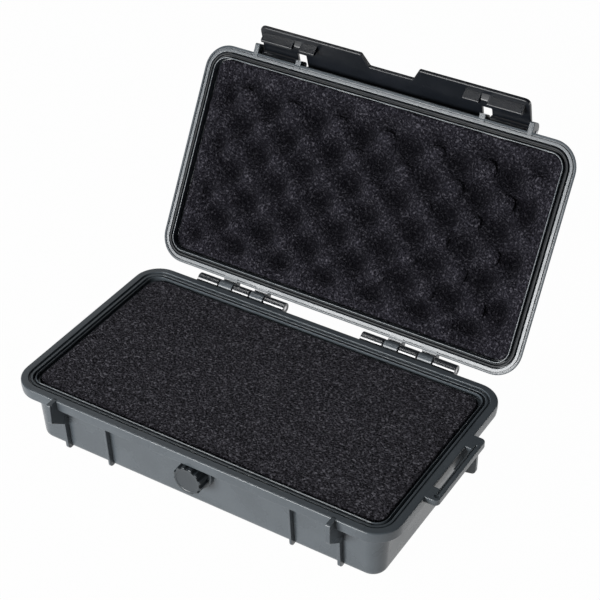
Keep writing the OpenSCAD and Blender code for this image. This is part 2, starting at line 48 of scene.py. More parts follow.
# %% [markdown]
# The sizes repeat those of the CAD source, because this script can't read that file. The lid
# and the flap could be described where they stand, but their faces lean there. So they are
# described closed, where every face is level or upright, and then swung open.

# %% Sizes of the case, in millimetres
MM = 0.001
CASE_L, CASE_W, BASE_H = 250.0, 140.0, 42.0
CORNER_R = 16.5          # corner of the rim, seen from above
WALL_EXTRA_R = 2.3       # the walls' corners are this much rounder than the rim's inset corner
OVERHANG, WALL = 7.8, 2.4                # how far the rim stands out, and how thick walls are
BASE_DRAFT, LID_DRAFT = 2.3, 2.0         # how far the walls lean inwards over their height
TUB_H = BASE_H - 1.0
LID_Z, LID_H = 42.3, 22.7                # the closed lid's lower face, and its depth
LID_TOP = LID_Z + LID_H
FLANGE_T, SKIRT_H, SKIRT_T = 4.4, 7.0, 2.4   # the rim's flange and the skirt that hangs from it
FLOOR_T = 2.6                            # thickness of the base's floor and of the lid's top
FRONT, BACK = -CASE_W / 2, CASE_W / 2
WALL_Y = FRONT + OVERHANG                # the front wall where it meets the rim
ROOT = 1.6                               # how far ribs, fins and ears run into a wall
HINGE_Y, HINGE_Z, KNUCKLE_R, HINGE_PIN_R = BACK + 4.26, BASE_H - 1.39, 3.4, 1.5
LATCH_Y, LATCH_Z = FRONT + 0.2, LID_Z + 6.1
LID_OPEN, FLAP_OPEN = radians(118.97), radians(46)


def swing(y, z, angle):
    """Turn about the X direction through a point of the YZ plane."""
    centre = Matrix.Translation((0, y, z))
    return centre @ Matrix.Rotation(-angle, 4, "X") @ centre.inverted()


STAY = Matrix.Identity(4)
OPEN_LID = swing(HINGE_Y, HINGE_Z, LID_OPEN)
OPEN_FLAP = OPEN_LID @ swing(LATCH_Y, LATCH_Z, FLAP_OPEN)
print("latch axis in the open lid:", [round(v, 2) for v in OPEN_LID @ Vector((0, LATCH_Y, LATCH_Z))])

# %% [markdown]
# The camera stands to the front right and looks down at the case. It could be aimed by eye at
# the middle of the case. Its place and lens were solved once from the rim's corners instead,
# so that the frame's pieces fall where the picture has them.

# %% Camera
CAMERA_AT = Vector((0.39617, -0.59293, 0.62731))
TURN, RISE, ROLL = radians(31.75667), radians(36.30055), radians(-0.23955)
LENS, SENSOR, NEAREST = 96.475, 36, 0.01

back_axis = Vector((sin(TURN) * cos(RISE), -cos(TURN) * cos(RISE), sin(RISE)))
level_right = Vector((cos(TURN), sin(TURN), 0))
level_up = back_axis.cross(level_right)
right_axis = cos(ROLL) * level_right + sin(ROLL) * level_up
up_axis = cos(ROLL) * level_up - sin(ROLL) * level_right

lens = bpy.data.cameras.new("camera")
lens.lens, lens.sensor_width, lens.clip_start = LENS, SENSOR, NEAREST
camera = bpy.data.objects.new("camera", lens)
turn = Matrix((right_axis, up_axis, back_axis)).transposed().to_4x4()
camera.matrix_world = Matrix.Translation(CAMERA_AT) @ turn
bpy.context.scene.collection.objects.link(camera)
bpy.context.scene.camera = camera
print("camera", tuple(round(v, 4) for v in camera.location), "lens", LENS)

# %% [markdown]
# Materials are node trees, and a node tree that is mostly arithmetic reads best as arithmetic.
# A Wire holds one output socket. Adding or multiplying Wires, or taking one from a number,
# adds the Math node that does it.


# %% Shader arithmetic
class Wire:
    """An output socket that ordinary operators work on."""

    def __init__(self, tree, socket):
        self.tree, self.socket = tree, socket

    def math(self, operation, *values):
        return add_node(self.tree, "ShaderNodeMath", {"operation": operation},
                        dict(enumerate(values))).out(0)

    def __add__(self, other): return self.math("ADD", self, other)
    def __rsub__(self, other): return self.math("SUBTRACT", other, self)
    def __mul__(self, other): return self.math("MULTIPLY", self, other)

    def ramp(self, low, high):
        """0 below low, 1 above high, smooth between."""
        return add_node(self.tree, "ShaderNodeMapRange",
                        {"interpolation_type": "SMOOTHSTEP"},
                        {"Value": self, "From Min": low, "From Max": high}).out(0)


class Made:
    """A node just added, with its outputs as Wires."""

    def __init__(self, tree, node):
        self.tree, self.node = tree, node

    def out(self, key):
        return Wire(self.tree, self.node.outputs[key])


def add_node(tree, kind, settings=None, sockets=None):
    """Add a node: its settings come first, then the values or links of its sockets."""
    node = tree.nodes.new(kind)
    for key, value in (settings or {}).items():
        setattr(node, key, value)
    for key, value in (sockets or {}).items():
        if isinstance(value, Wire):
            tree.links.new(value.socket, node.inputs[key])
        else:
            node.inputs[key].default_value = value
    return Made(tree, node)


MIX_FACTOR, MIX_A, MIX_B, MIX_RESULT = 0, 6, 7, 2    # a Mix node's colour sockets


def mix_colour(tree, factor, low, high):
    """A colour between two colours."""
    made = add_node(tree, "ShaderNodeMix", {"data_type": "RGBA"},
                    {MIX_FACTOR: factor, MIX_A: low, MIX_B: high})
    return made.out(MIX_RESULT)


def grain(tree, size_mm, detail=2.0, roughness=0.5):
    """Noise whose patches are about size_mm across."""
    place = add_node(tree, "ShaderNodeTexCoord").out("Object")
    return add_node(tree, "ShaderNodeTexNoise", {}, {
        "Vector": place, "Scale": 1 / (size_mm * MM), "Detail": detail,
        "Roughness": roughness}).out("Fac")


def start_material(name):
    """An empty material with its Principled shader already at the output."""
    material = bpy.data.materials.new(name)
    material.use_nodes = True
    tree = material.node_tree
    tree.nodes.clear()
    shader = add_node(tree, "ShaderNodeBsdfPrincipled")
    add_node(tree, "ShaderNodeOutputMaterial", {}, {"Surface": shader.out(0)})
    return material, tree, shader.node


def feed(tree, shader, **sockets):
    """Give the shader's sockets their values or links."""
    for key, value in sockets.items():
        socket = shader.inputs[key.replace("_", " ")]
        if isinstance(value, Wire):
            tree.links.new(value.socket, socket)
        else:
            socket.default_value = value


def bump(tree, height, depth_mm):
    """Normals of a surface that rises by depth_mm where height is 1."""
    return add_node(tree, "ShaderNodeBump", {}, {
        "Strength": 1.0, "Distance": depth_mm * MM, "Height": height}).out(0)


# %% [markdown]
# The shells are charcoal plastic from a spark-eroded mould: a satin skin with a texture about
# a third of a millimetre wide, faint cloudy changes of gloss, and a little paler dust. Plain
# colour would look like paint, so the texture is bump from a fine noise, slow clouds drive the
# gloss, and clouds and specks together drive the colour. The flap and the knob come from other
# moulds and are darker and smoother. The base's hinge knuckles are smoother too, and their
# darker colour is painted shade.

# %% Plastic of the shells
CLOUD_MM, CLOUD_SHARE = 22, 0.55     # size of the cloudy patches, and their part in the colour
SPECK_SIZE, SPECK_SHARE = 2.5, 0.45  # the specks against the texture's grain, and their part


def moulded_plastic(name, dark, pale, roughness, texture_mm=0.35, depth_mm=0.02, specular=0.5):
    material, tree, shader = start_material(name)
    clouds = grain(tree, CLOUD_MM, 3).ramp(0.35, 0.7)
    speckle = grain(tree, texture_mm * SPECK_SIZE, 2).ramp(0.3, 0.75)
    skin = grain(tree, texture_mm, 2, 0.6)
    tone = clouds * CLOUD_SHARE + speckle * SPECK_SHARE
    glossy, matt = roughness
    feed(tree, shader,
         Base_Color=mix_colour(tree, tone, (*dark, 1), (*pale, 1)),
         Roughness=clouds * (matt - glossy) + glossy,
         Normal=bump(tree, skin, depth_mm),
         Specular_IOR_Level=specular)
    return material


shell_plastic = moulded_plastic(
    "shell_plastic", dark=(0.062, 0.074, 0.084), pale=(0.084, 0.098, 0.110), roughness=(0.24, 0.33))
flap_plastic = moulded_plastic(
    "flap_plastic", dark=(0.005, 0.0065, 0.009), pale=(0.009, 0.011, 0.015), roughness=(0.30, 0.39),
    depth_mm=0.015)
knob_plastic = moulded_plastic(
    "knob_plastic", dark=(0.024, 0.030, 0.035), pale=(0.036, 0.043, 0.049), roughness=(0.28, 0.36))
# the knuckles' darker colours are painted shade; the lower roughness and higher specular are their own
knuckle_plastic_painted_shade = moulded_plastic(
    "knuckle_plastic_painted_shade", dark=(0.010, 0.012, 0.015), pale=(0.018, 0.021, 0.025), roughness=(0.20, 0.25),
    texture_mm=1.2, depth_mm=0.001, specular=0.9)
print("plastics:", shell_plastic.name, flap_plastic.name, knob_plastic.name, knuckle_plastic_painted_shade.name)

# %% [markdown]
# Open-cell foam is a skeleton of fine struts round holes about a millimetre wide. It swallows
# light, and here and there a strut turns to the light and glints. The struts could be real
# geometry, but there would be millions. Here Voronoi cells and a fine noise give the holes,
# for colour and bump at once, and a sparse noise picks the struts that glint. Deep places are
# darker, because little light finds its way out again: the egg-crate pad carries a value
# named hollow for that, which is 0 on its crests.

# %% Foam
FUZZ_SIZE, STRUT_SIZE, PATCH_MM = 0.9, 1.1, 14   # the first two against the cell's size
CELL_SHARE, FUZZ_SHARE = 0.3, 0.7                # what makes up the height of the surface
HEIGHT_SHARE, PATCH_SHARE = 0.92, 0.08           # and what makes up its colour
HOLLOW_DARK = 0.8                                # how far the deepest places go to the dark colour


def open_cell_foam(name, dark, pale, glint, cell_mm, depth_mm):
    material, tree, shader = start_material(name)
    place = add_node(tree, "ShaderNodeTexCoord").out("Object")
    cells = add_node(tree, "ShaderNodeTexVoronoi", {"feature": "F1"}, {
        "Vector": place, "Scale": 1 / (cell_mm * MM)}).out("Distance")
    fuzz = grain(tree, cell_mm * FUZZ_SIZE, 2, 0.6)
    height = cells.ramp(0.1, 0.6) * CELL_SHARE + fuzz.ramp(0.45, 0.62) * FUZZ_SHARE
    patches = grain(tree, PATCH_MM, 2).ramp(0.3, 0.7)
    struts = grain(tree, cell_mm * STRUT_SIZE, 1).ramp(0.54, 0.74)
    body = mix_colour(tree, height * HEIGHT_SHARE + patches * PATCH_SHARE, (*dark, 1), (*pale, 1))
    lit = mix_colour(tree, struts, body, (*glint, 1))
    hollow = add_node(tree, "ShaderNodeAttribute", {"attribute_name": "hollow"}).out("Fac")
    feed(tree, shader,
         Base_Color=mix_colour(tree, hollow * HOLLOW_DARK, lit, (*dark, 1)),
         Roughness=0.95 - struts * 0.25,
         Normal=bump(tree, height, depth_mm),
         Specular_IOR_Level=0.06)
    return material


block_foam = open_cell_foam(
    "block_foam", dark=(0.001, 0.001, 0.0015), pale=(0.082, 0.079, 0.094),
    glint=(0.17, 0.166, 0.19), cell_mm=1.4, depth_mm=0.8)
crate_foam = open_cell_foam(
    "crate_foam", dark=(0.001, 0.001, 0.002), pale=(0.036, 0.035, 0.045),
    glint=(0.084, 0.082, 0.098), cell_mm=1.35, depth_mm=0.6)
print("foams:", block_foam.name, crate_foam.name)

# %% [markdown]
# The seal and the ring under the knob are smooth black rubber with a slightly greasy bloom.
# The pins are drawn steel, with fine rings of wear, and the bush is turned brass. The rings
# could be an anisotropic shader, but at this size a squeezed noise says the same.

# %% Rubber and metals
def rubber_skin(name):
    material, tree, shader = start_material(name)
    bloom = grain(tree, 5, 3).ramp(0.35, 0.75)
    feed(tree, shader,
         Base_Color=mix_colour(tree, bloom, (0.006, 0.008, 0.010, 1), (0.011, 0.014, 0.018, 1)),
         Roughness=bloom * 0.1 + 0.42,
         Normal=bump(tree, grain(tree, 0.4), 0.01),
         Specular_IOR_Level=0.22)
    return material


def turned_metal(name, dark, pale, scratch):
    """Bright metal with fine lines round its axis, from a noise squeezed along that axis."""
    material, tree, shader = start_material(name)
    place = add_node(tree, "ShaderNodeTexCoord").out("Object")
    squeezed = add_node(tree, "ShaderNodeVectorMath", {"operation": "MULTIPLY"},
                        {0: place, 1: scratch}).out(0)
    lines = add_node(tree, "ShaderNodeTexNoise", {}, {
        "Vector": squeezed, "Scale": 1.0, "Detail": 3.0}).out("Fac")
    stain = grain(tree, 3, 2).ramp(0.3, 0.8)
    feed(tree, shader,
         Base_Color=mix_colour(tree, stain, (*pale, 1), (*dark, 1)),
         Metallic=1.0 - stain * 0.1,
         Roughness=lines * 0.2 + 0.18,
         Normal=bump(tree, lines, 0.01))
    return material


FINE, COARSE = 4000, 300     # lines to the metre, along the axis and across it
rubber = rubber_skin("rubber")
steel = turned_metal("steel", dark=(0.42, 0.42, 0.43), pale=(0.66, 0.66, 0.67),
                     scratch=(FINE, COARSE, COARSE))
brass = turned_metal("brass", dark=(0.45, 0.30, 0.12), pale=(0.74, 0.54, 0.27),
                     scratch=(COARSE, FINE, COARSE))
print("other finishes:", rubber.name, steel.name, brass.name)

# %% [markdown]
# Two ways of making a solid serve nearly every piece. A rim or a wall is a section carried
# round the rounded rectangle of the case. A rib, an ear or a bracket is a flat outline given
# a thickness, with its edges rounded. Both are written once here. Boxes with bevels and
# booleans would do too, but they leave ragged meshes where small steps meet.


# %% Helpers that make meshes
SAME_PLACE, NO_LENGTH = 0.0005, 0.0002   # points nearer than this join, shorter edges go
LEAST_R = 0.5                            # far inside, corners stay at least this round


def finish_mesh(name, bm, place, material, body, sharp=radians(32)):
    """Turn a bmesh in millimetres into a piece in metres that rides on a body."""
    bmesh.ops.remove_doubles(bm, verts=bm.verts, dist=SAME_PLACE)
    bmesh.ops.dissolve_degenerate(bm, edges=bm.edges, dist=NO_LENGTH)
    bmesh.ops.recalc_face_normals(bm, faces=bm.faces)
    bmesh.ops.transform(bm, matrix=Matrix.Scale(MM, 4) @ place, verts=bm.verts)
    for face in bm.faces:
        face.smooth = True
    for edge in bm.edges:
        edge.smooth = len(edge.link_faces) == 2 and edge.calc_face_angle(0) < sharp
    mesh = bpy.data.meshes.new(name)
    bm.to_mesh(mesh)
    bm.free()
    mesh.materials.append(material)
    piece = bpy.data.objects.new(name, mesh)
    bpy.context.scene.collection.objects.link(piece)
    even = piece.modifiers.new("flat faces stay flat", "WEIGHTED_NORMAL")
    even.keep_sharp = True
    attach(piece, body)
    print(name, len(mesh.polygons), "faces on", body)
    return piece


def round_corners(points, steps=4):
    """Round a path: each point is (a, b, extra, radius), and a corner becomes a short arc."""
    straight, near_half = pi - 0.02, 0.49
    path = []
    for i, (a, b, extra, radius) in enumerate(points):
        if radius == 0 or i in (0, len(points) - 1):
            path.append((a, b, extra))
            continue
        here = Vector((a, b))
        before = Vector(points[i - 1][:2]) - here
        after = Vector(points[i + 1][:2]) - here
        opening = before.angle(after)
        reach = radius / abs(sin(opening / 2) / cos(opening / 2)) if opening < straight else 0
        reach = min(reach, before.length * near_half, after.length * near_half)
        start, end = here + before.normalized() * reach, here + after.normalized() * reach
        for k in range(steps + 1):
            t = k / steps
            spot = start * (1 - t) ** 2 + here * 2 * t * (1 - t) + end * t ** 2
            path.append((spot.x, spot.y, extra))
    return path


def rim_ring(inset, z, extra, arc=12):
    """The rim's outline moved inwards, at one height. extra makes its corners rounder."""
    half_l, half_w = CASE_L / 2 - inset, CASE_W / 2 - inset
    radius = max(LEAST_R, CORNER_R - inset + extra)
    ring = []
    for side_x, side_y, start in ((1, 1, 0), (-1, 1, 90), (-1, -1, 180), (1, -1, 270)):
        for k in range(arc + 1):
            a = radians(start + 90 * k / arc)
            ring.append((side_x * (half_l - radius) + radius * cos(a),
                         side_y * (half_w - radius) + radius * sin(a), z))
    return ring


def close_ring(bm, loop):
    """Close a ring with even triangles that meet at its middle."""
    middle = bm.verts.new(sum((v.co for v in loop), Vector()) / len(loop))
    for k in range(len(loop)):
        bm.faces.new((loop[k], loop[(k + 1) % len(loop)], middle))


def join_rings(bm, rings, closed=False, cap_start=True, cap_end=True):
    """Faces between neighbouring rings, and flat ends."""
    loops = [[bm.verts.new(p) for p in ring] for ring in rings]
    pairs = list(zip(loops, loops[1:]))
    if closed:
        pairs.append((loops[-1], loops[0]))
    for low, high in pairs:
        for k in range(len(low)):
            n = (k + 1) % len(low)
            bm.faces.new((low[k], low[n], high[n], high[k]))
    if not closed and cap_start:
        close_ring(bm, loops[0])
    if not closed and cap_end:
        close_ring(bm, loops[-1])


def swept_rim(name, section, place, material, body, closed=False):
    """A section of (inset, height, extra radius, fillet) carried round the case."""
    bm = bmesh.new()
    rings = [rim_ring(*spot) for spot in round_corners(section)]
    join_rings(bm, rings, closed)
    return finish_mesh(name, bm, place, material, body)


def arc_points(cy, cz, radius, start, end, steps=16):
    """Points of an arc from start to end degrees."""
    return [(cy + radius * cos(radians(start + (end - start) * k / steps)),
             cz + radius * sin(radians(start + (end - start) * k / steps)))
            for k in range(steps + 1)]


# a flat outline (u, v) becomes (x, y, z) by the plane that it is drawn in
ALONG_X = Matrix(((0, 0, 1, 0), (1, 0, 0, 0), (0, 1, 0, 0), (0, 0, 0, 1)))   # u=Y, v=Z
ALONG_Y = Matrix(((1, 0, 0, 0), (0, 0, 1, 0), (0, 1, 0, 0), (0, 0, 0, 1)))   # u=X, v=Z
ALONG_Z = Matrix.Identity(4)                                                # u=X, v=Y


def add_plate(bm, outlines, start, end, edge, plane=ALONG_X, turn=STAY):
    """An outline, with its holes, given thickness from start to end, with rounded edges."""
    curve = bpy.data.curves.new("outline", "CURVE")
    curve.dimensions, curve.fill_mode = "2D", "BOTH"
    for outline in outlines:
        spline = curve.splines.new("POLY")
        spline.points.add(len(outline) - 1)
        for point, (u, v) in zip(spline.points, outline):
            point.co = (u, v, 0, 1)
        spline.use_cyclic_u = True
    curve.extrude = (end - start) / 2 - edge
    curve.bevel_depth, curve.bevel_resolution, curve.offset = edge, 2, -edge
    holder = bpy.data.objects.new("outline", curve)
    bpy.context.scene.collection.objects.link(holder)
    bpy.context.view_layer.update()
    mesh = bpy.data.meshes.new_from_object(holder)
    mesh.transform(turn @ plane @ Matrix.Translation((0, 0, (start + end) / 2)))
    bm.from_mesh(mesh)
    bpy.data.objects.remove(holder)
    bpy.data.curves.remove(curve)
    bpy.data.meshes.remove(mesh)


def add_lathe(bm, profile, centre, steps=96, wobble=None, closed=False):
    """A profile of (radius, place along Y) turned about Y. closed makes a ring."""
    rings = []
    for radius, along in profile:
        ring = []
        for k in range(steps):
            a = 2 * pi * k / steps
            r = wobble(radius, a) if wobble else radius
            ring.append(Vector((r * cos(a), along, r * sin(a))) + Vector(centre))
        rings.append(ring)
    join_rings(bm, rings, closed)


def mirrored(values):
    """The same things on the left and on the right, as (side, value)."""
    return [(side, value) for side in (-1, 1) for value in values]


def span(side, start, end):
    """A stretch of X on the right, or its mirror image on the left."""
    return (start, end) if side > 0 else (-end, -start)


# %% [markdown]
# The base is one moulding. Its section runs from the underside up the leaning wall, out under
# the flange, over the rim and down inside. The rim carries a drip groove, the ridge that
# presses into the seal, the slot for the lid's tongue and a thin inner lip. A box with one
# bevel would give all its edges the same light. In a section each corner has its own small
# fillet, and those fillets catch the thin bright lines seen on the case.

# %% Base: walls and rim
def base_wall(z):
    """Inset of the base wall's outer face at a height."""
    return OVERHANG + BASE_DRAFT * (1 - z / TUB_H)


under = BASE_H - FLANGE_T
FLAT_END = 8                 # a flat end's outline lies this far inside the wall
STEP_IN, STEP_Z = 0.3, 38.0  # the skirt's face steps back below this height
GROOVE_Z, RIDGE_Z = 40.8, 41.5
SLOT_OUT, SLOT_IN, TONGUE_SLOT_Z = 7.1, 8.2, 39.2
LIP_IN, LEDGE_Z = 9.15, 39.0
# each point: inset from the rim's outline, height, extra corner radius, fillet
base_section = [
    (base_wall(0) + FLAT_END, 0, WALL_EXTRA_R, 0),
    (base_wall(0), 0, WALL_EXTRA_R, 3.2),
    (base_wall(under), under, WALL_EXTRA_R, 0.9),
    (SKIRT_T, under, 0, 0.6),
    (SKIRT_T, BASE_H - SKIRT_H, 0, 0.4),
    (STEP_IN, BASE_H - SKIRT_H, 0, 0.6),
    (STEP_IN, STEP_Z - STEP_IN, 0, 0.15),
    (0, STEP_Z, 0, 0.15),
    (0, BASE_H, 0, 1.0),
    (4.4, BASE_H, 0, 0.25),          # the flat of the rim ends at the drip groove
    (4.6, GROOVE_Z, 0, 0.2),
    (5.6, GROOVE_Z, 0, 0.2),
    (5.7, RIDGE_Z, 0, 0.35),         # the ridge that meets the seal
    (SLOT_OUT, RIDGE_Z, 0, 0.35),
    (SLOT_OUT, TONGUE_SLOT_Z, 0, 0.15),
    (SLOT_IN, TONGUE_SLOT_Z, 0, 0.15),
    (SLOT_IN, 40.4, 0, 0.1),         # the inner lip, cut at a slant on its outer side
    (8.75, RIDGE_Z, 0, 0.1),
    (LIP_IN, RIDGE_Z, 0, 0.15),
    (LIP_IN, LEDGE_Z, 0, 0.2),
    (OVERHANG + WALL, LEDGE_Z, WALL_EXTRA_R, 0.4),
    (base_wall(FLOOR_T) + WALL, FLOOR_T, WALL_EXTRA_R, 0.6),
    (base_wall(FLOOR_T) + WALL + FLAT_END, FLOOR_T, WALL_EXTRA_R, 0),
]
base_tray = swept_rim("base_tray", base_section, STAY, shell_plastic, "base")
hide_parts("base_shell")

# %% [markdown]
# Four upright ribs stiffen the front wall, and the outer two end in fins that guard the ends
# of the closed flap. They are flat outlines in the YZ plane that run a little way into the
# wall. A boolean could join them to it, but the same picture comes from clean separate meshes.
# The purge valve sits on a round boss, which is a turned profile.

# %% Base: ribs, fins and boss
RIB_X, RIB_T, RIB_OUT, RIB_FOOT = 61.4, 1.4, 3.3, 3.0
FIN_X, FIN_T, FIN_OUT, FIN_Z, FIN_ROOT_Z = 90.5, 3.0, 5.6, 28.0, 20.6
FIN_LOW_R, FIN_TOP_R, FIN_BACK = 2, 1, FRONT + 1.5
VALVE_Z, BOSS_R, BOSS_T, BOSS_BORE_R, BOSS_ROOT = 25.6, 10.8, 1.6, 5.52, 1.8


def wall_face(z):
    """Y of the front wall's outer face at a height."""
    return FRONT + base_wall(z)


foot_y = wall_face(0) - RIB_OUT
rib_outline = ([(wall_face(0) + ROOT, 0.3)]
               + arc_points(foot_y + RIB_FOOT, RIB_FOOT, RIB_FOOT, 270, 180, 8)
               + [(WALL_Y - RIB_OUT, under + 0.5), (WALL_Y + ROOT, under + 0.5)])
fin_tip, fin_root = FRONT - FIN_OUT, wall_face(FIN_ROOT_Z)
fin_outline = ([(fin_root + ROOT, FIN_ROOT_Z - 1), (fin_root - RIB_OUT, FIN_ROOT_Z)]
               + arc_points(fin_tip + FIN_LOW_R, FIN_Z + FIN_LOW_R, FIN_LOW_R, 250, 180, 6)
               + arc_points(fin_tip + FIN_TOP_R, BASE_H - FIN_TOP_R, FIN_TOP_R, 180, 90, 5)
               + [(FIN_BACK, BASE_H), (FIN_BACK, under + 1), (WALL_Y + ROOT, under + 1)])
bm = bmesh.new()
for side, (x, thick) in mirrored([(RIB_X, RIB_T), (FIN_X + FIN_T / 2, FIN_T - 1)]):
    add_plate(bm, [rib_outline], *span(side, x - thick / 2, x + thick / 2), 0.3)
for side, x in mirrored([FIN_X]):
    add_plate(bm, [fin_outline], *span(side, x, x + FIN_T), 0.35)
front_ribs = finish_mesh("front_ribs", bm, STAY, shell_plastic, "base")
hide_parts("base_shell")

bm = bmesh.new()
BOSS_Y = WALL_Y - BOSS_T
add_lathe(bm, [(BOSS_R, WALL_Y + BOSS_ROOT), (BOSS_R, BOSS_Y + 0.6), (BOSS_R - 0.2, BOSS_Y + 0.2),
               (BOSS_R - 0.6, BOSS_Y), (BOSS_R - 1.1, BOSS_Y), (5.6, BOSS_Y),
               (BOSS_BORE_R, BOSS_Y + 0.1), (BOSS_BORE_R, WALL_Y + BOSS_ROOT)],
          (0, 0, VALVE_Z), closed=True)
valve_boss = finish_mesh("valve_boss", bm, STAY, shell_plastic, "base")
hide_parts("base_shell")

# %% [markdown]
# Each of the two hinges has five knuckles on one pin, three on the base and two on the lid.
# They could be turned, like the knob, but a foot joins each to its shell. Seen from the side
# a knuckle is an outline with a bore, so it is made as a plate with a hole.

# %% Base: hinge knuckles
HINGE_X, END_KNUCKLE, MID_KNUCKLE, LID_KNUCKLE, GAP = 58.65, 14.75, 11.8, 9.5, 0.75
BORE_GAP = 0.02              # air round a hinge pin
HINGE_LEN = 2 * END_KNUCKLE + 2 * LID_KNUCKLE + MID_KNUCKLE + 4 * GAP
hinge_start = HINGE_X - HINGE_LEN / 2
base_knuckles = [(0, END_KNUCKLE), (END_KNUCKLE + LID_KNUCKLE + 2 * GAP, MID_KNUCKLE),
                 (HINGE_LEN - END_KNUCKLE, END_KNUCKLE)]
bore = arc_points(HINGE_Y, HINGE_Z, HINGE_PIN_R + BORE_GAP, 0, 345, 23)
knuckle_outline = ([(BACK - 1, BASE_H - 0.25)]
                   + arc_points(HINGE_Y, HINGE_Z, KNUCKLE_R, 161, -90, 24)
                   + [(BACK - 1, BASE_H - SKIRT_H + 0.3)])
bm = bmesh.new()
for side, (start, length) in mirrored(base_knuckles):
    x0 = hinge_start + start
    add_plate(bm, [knuckle_outline, bore], *span(side, x0, x0 + length), 0.3)
# the base knuckles get the plastic with painted shade in its darker colour
hinge_knuckles = finish_mesh("base_knuckles", bm, STAY, knuckle_plastic_painted_shade, "base")
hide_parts("base_shell")

# %% [markdown]
# On the right end a slotted bracket takes a strap. It stands level with the rim on a thin web,
# and a fine line with a dimple at its front end runs along its outer bar. The line could be
# cut out with a boolean. Two plates on top of each other are simpler, because only the upper
# one needs the line as a hole.

# %% Base: strap bracket
BRACKET_FRONT, BRACKET_BACK, BRACKET_T, BRACKET_R = -30.4, 27.5, 4.0, 3.0
BRACKET_X = CASE_L / 2 + 7.5
SLOT_X, SLOT_FRONT, SLOT_BACK, SLOT_R, BAR_W = CASE_L / 2 - 0.8, -20.5, 16.5, 0.4, 4.0
PLATE_ROOT, UPPER_T, UPPER_DROP = 2.2, 1.4, 0.03
WEB_T, WEB_Z, WEB_ROOT_Z, WEB_R, WEB_IN, WEB_LAP = 2.5, 24.0, 21.0, 3.0, 0.5, 0.4
LINE_W, LINE_D, LINE_SHORT, LINE_FROM_BAR = 0.9, 0.6, 7.0, 0.9
DIMPLE_R, DIMPLE_IN = 1.3, 4
DIMPLE_OPEN = 65             # where the line's sides leave the dimple, seen from its middle


def box_outline(u0, v0, u1, v1, r, steps=5):
    """A rectangle with rounded corners."""
    corners = ((u1 - r, v0 + r, -90), (u1 - r, v1 - r, 0), (u0 + r, v1 - r, 90), (u0 + r, v0 + r, 180))
    return [point for u, v, start in corners for point in arc_points(u, v, r, start, start + 90, steps)]


plate = ([(SLOT_X - PLATE_ROOT, BRACKET_FRONT)]
         + arc_points(BRACKET_X - BRACKET_R, BRACKET_FRONT + BRACKET_R, BRACKET_R, -90, 0, 8)
         + arc_points(BRACKET_X - BRACKET_R, BRACKET_BACK - BRACKET_R, BRACKET_R, 0, 90, 8)
         + [(SLOT_X - PLATE_ROOT, BRACKET_BACK)])
slot = box_outline(SLOT_X, SLOT_FRONT, BRACKET_X - BAR_W, SLOT_BACK, SLOT_R)[::-1]
web_tip, web_top = BRACKET_X - WEB_IN, BASE_H - BRACKET_T + WEB_LAP
web = ([(CASE_L / 2 - base_wall(WEB_ROOT_Z) - ROOT, WEB_ROOT_Z)]
       + arc_points(web_tip - WEB_R, WEB_Z + WEB_R, WEB_R, -80, 0, 6)
       + [(web_tip, web_top), (CASE_L / 2 - base_wall(BASE_H) - ROOT, web_top)])
line_x = BRACKET_X - BAR_W + LINE_FROM_BAR
line_end = BRACKET_BACK - LINE_SHORT
channel = (arc_points(line_x + LINE_W / 2, BRACKET_FRONT + DIMPLE_IN, DIMPLE_R,
                      DIMPLE_OPEN, DIMPLE_OPEN - 310, 20)
           + [(line_x, line_end), (line_x + LINE_W, line_end)])
bm = bmesh.new()
add_plate(bm, [plate, slot], BASE_H - BRACKET_T, BASE_H - LINE_D, 0.45, ALONG_Z)
add_plate(bm, [plate, slot, channel], BASE_H - UPPER_T, BASE_H - UPPER_DROP, 0.42, ALONG_Z)
add_plate(bm, [web], SLOT_BACK, SLOT_BACK + WEB_T, 0.3, ALONG_Y)
strap_bracket = finish_mesh("strap_bracket", bm, STAY, shell_plastic, "base")
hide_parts("base_shell")

# %% [markdown]
# The lid's section is drawn closed, from its top down over the leaning side to the thin
# flange, across the rim and up inside. The rim has a fine line near its edge, the groove that
# holds the seal, and the tongue that drops into the base's slot. It is made the same way as
# the base, so that the two rims match all the way round. The seal is a closed section of its
# own: a face that meets the base's ridge, and a step down beside the tongue.

# %% Lid: walls and rim
def lid_wall(z):
    """Inset of the lid wall's outer face at a height of the closed lid."""
    return OVERHANG + LID_DRAFT * (z - LID_Z - 1) / (LID_H - 1)


flange_top, lid_inside = LID_Z + FLANGE_T, LID_TOP - FLOOR_T
LID_FLAT_END = 10                        # as FLAT_END, for the wider fillet of the lid's top
LINE_DEEP, SEAL_DEEP = 0.9, 3.0          # depths of the fine line and of the seal's groove
TONGUE_IN, TONGUE_DROP = 8.05, 1.6
lid_section = [
    (lid_wall(LID_TOP) + LID_FLAT_END, LID_TOP, WALL_EXTRA_R, 0),
    (lid_wall(LID_TOP), LID_TOP, WALL_EXTRA_R, 4.4),
    (lid_wall(flange_top), flange_top, WALL_EXTRA_R, 0.9),
    (2.0, flange_top, 0, 1.2),
    (0.0, LID_Z + 0.3, 0, 0.5),
    (1.5, LID_Z + 0.1, 0, 0.1),          # the fine line
    (1.55, LID_Z + LINE_DEEP, 0, 0.1),
    (2.1, LID_Z + LINE_DEEP, 0, 0.1),
    (2.15, LID_Z, 0, 0.15),              # the flat of the rim
    (4.0, LID_Z, 0, 0.3),
    (4.1, LID_Z + SEAL_DEEP, 0, 0.2),    # the seal's groove
    (7.3, LID_Z + SEAL_DEEP, 0, 0.2),
    (7.35, LID_Z - TONGUE_DROP, 0, 0.3),
    (TONGUE_IN, LID_Z - TONGUE_DROP, 0, 0.3),
    (TONGUE_IN, LID_Z + 3.6, 0, 0.2),
    (OVERHANG + WALL, LID_Z + 4.0, WALL_EXTRA_R, 0.4),
    (lid_wall(lid_inside) + WALL, lid_inside, WALL_EXTRA_R, 0.6),
    (lid_wall(lid_inside) + WALL + FLAT_END, lid_inside, WALL_EXTRA_R, 0),
]
lid_tray = swept_rim("lid_tray", lid_section, OPEN_LID, shell_plastic, "lid")
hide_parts("lid_shell")

